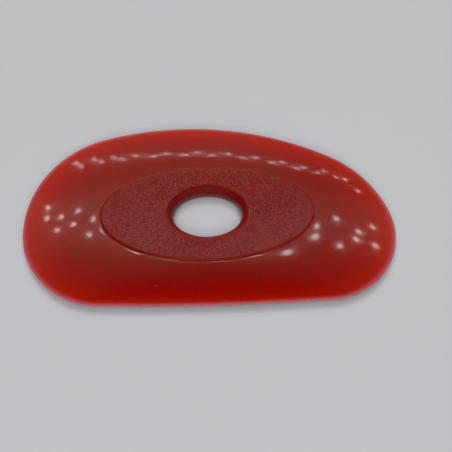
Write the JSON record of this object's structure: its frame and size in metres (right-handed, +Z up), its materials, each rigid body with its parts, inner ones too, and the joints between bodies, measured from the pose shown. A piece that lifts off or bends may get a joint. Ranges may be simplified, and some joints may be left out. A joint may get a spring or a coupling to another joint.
{
  "type": "pottery rib",
  "caption": "Flexible pottery rib with a long bowed working edge, rounded ends, a crowned blade, raised oval grip pads and an oval finger hole, for shaping and smoothing clay.",
  "frame": {"origin": "middle of the finger hole, on the surface that the tool rests on, which is the face of the lower grip pad", "axes": "+X along the tool towards its narrow toe, +Y from the bowed working edge to the high back, +Z up out of the upper grip pad"},
  "size_m": [0.1202, 0.0637, 0.0063],
  "materials": {
    "soft_red": "see-through deep red, glossy blade and edge, finely grained satin grip pads"
  },
  "bodies": {
    "root": {"rib": "soft_red"}
  },
  "joints": []
}
